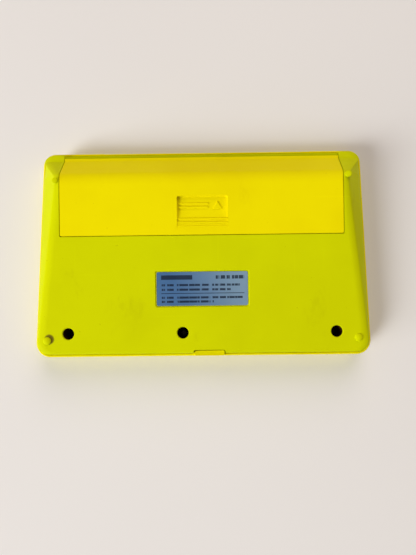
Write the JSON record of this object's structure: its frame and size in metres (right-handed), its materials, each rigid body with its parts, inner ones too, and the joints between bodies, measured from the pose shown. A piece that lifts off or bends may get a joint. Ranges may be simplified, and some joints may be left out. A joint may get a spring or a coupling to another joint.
{
  "type": "handheld lcd game",
  "caption": "Wedge-shaped handheld LCD game in yellow plastic, lying on its face: sliding battery cover, foil label, screw wells, sprung buttons.",
  "frame": {"origin": "middle of the footprint, on the surface that the front rim rests on", "axes": "+Z out of the back panel side, +Y towards the battery end, +X to the right seen from the back with the battery end up"},
  "size_m": [0.136, 0.0862, 0.0231],
  "materials": {
    "case_lemon": "lightly textured moulded plastic, lemon yellow, rubbed and scuffed",
    "cover_yellow": "smooth moulded plastic, warmer yellow than the case",
    "front_yellow": "moulded plastic, orange yellow",
    "plate_print": "dark printed sheet with a pale border",
    "label_foil": null,
    "dark_steel": "blackened steel",
    "clear_window": "clear acrylic",
    "display_glass": "display glass, grey green",
    "silver_film": "matt reflector film",
    "black_plastic": "black moulded plastic",
    "conductive_rubber": "striped elastomer",
    "board_laminate": "brown paper laminate",
    "black_epoxy": "potted epoxy",
    "bright_steel": "plated steel",
    "resistor_body": "lacquered tan body with colour bands",
    "brass": "brass disc with a pale ceramic face",
    "red_sleeve": "thin plastic insulation",
    "black_sleeve": "thin plastic insulation",
    "cell_sleeve": "printed sleeve on a steel can",
    "button_red": "moulded red plastic",
    "grey_rubber": "moulded grey rubber"
  },
  "bodies": {
    "housing": {"rear_case": "case_lemon", "front_case": "front_yellow", "face_plate": "plate_print", "rating_label": "label_foil", "case_screw_left": "dark_steel", "case_screw_middle": "dark_steel", "case_screw_right": "dark_steel", "lcd_window": "clear_window", "lcd_glass": "display_glass", "lcd_reflector": "silver_film", "lcd_frame": "black_plastic", "zebra_strip_upper": "conductive_rubber", "zebra_strip_lower": "conductive_rubber", "main_board": "board_laminate", "chip_blob": "black_epoxy", "crystal": "bright_steel", "capacitor": "black_plastic", "resistor": "resistor_body", "buzzer_disc": "brass", "buzzer_lead_upper": "red_sleeve", "buzzer_lead_lower": "black_sleeve", "board_screw_left_lower": "bright_steel", "board_screw_left_upper": "bright_steel", "board_screw_right_lower": "bright_steel", "board_screw_right_upper": "bright_steel", "battery_left": "cell_sleeve", "battery_right": "cell_sleeve", "contact_plus": "bright_steel", "contact_minus": "bright_steel", "contact_spring": "bright_steel", "battery_lead_plus": "red_sleeve", "battery_lead_minus": "black_sleeve", "contact_mat_left": "grey_rubber", "contact_mat_right": "grey_rubber"},
    "battery_cover_body": {"battery_cover": "cover_yellow"},
    "left_button_body": {"left_button": "button_red"},
    "right_button_body": {"right_button": "button_red"},
    "action_button_body": {"action_button": "button_red"},
    "game_a_key_body": {"game_a_key": "grey_rubber"},
    "game_b_key_body": {"game_b_key": "grey_rubber"},
    "sound_key_body": {"sound_key": "grey_rubber"}
  },
  "joints": [
    {"name": "battery_cover_slide", "type": "slide", "parent": "housing", "child": "battery_cover_body", "axis": [0, 0.9915, 0.13], "range_m": [0, 0.036]},
    {"name": "left_button_press", "type": "slide", "parent": "housing", "child": "left_button_body", "axis": [0, 0, 1], "range_m": [0, 0.0008], "stiffness_N_per_m": 800, "springref_m": -0.0004},
    {"name": "right_button_press", "type": "slide", "parent": "housing", "child": "right_button_body", "axis": [0, 0, 1], "range_m": [0, 0.0008], "stiffness_N_per_m": 800, "springref_m": -0.0004},
    {"name": "action_button_press", "type": "slide", "parent": "housing", "child": "action_button_body", "axis": [0, 0, 1], "range_m": [0, 0.0008], "stiffness_N_per_m": 800, "springref_m": -0.0004},
    {"name": "game_a_key_press", "type": "slide", "parent": "housing", "child": "game_a_key_body", "axis": [0, 0, 1], "range_m": [0, 0.0008], "stiffness_N_per_m": 800, "springref_m": -0.0004},
    {"name": "game_b_key_press", "type": "slide", "parent": "housing", "child": "game_b_key_body", "axis": [0, 0, 1], "range_m": [0, 0.0008], "stiffness_N_per_m": 800, "springref_m": -0.0004},
    {"name": "sound_key_press", "type": "slide", "parent": "housing", "child": "sound_key_body", "axis": [0, 0, 1], "range_m": [0, 0.0008], "stiffness_N_per_m": 800, "springref_m": -0.0004}
  ]
}
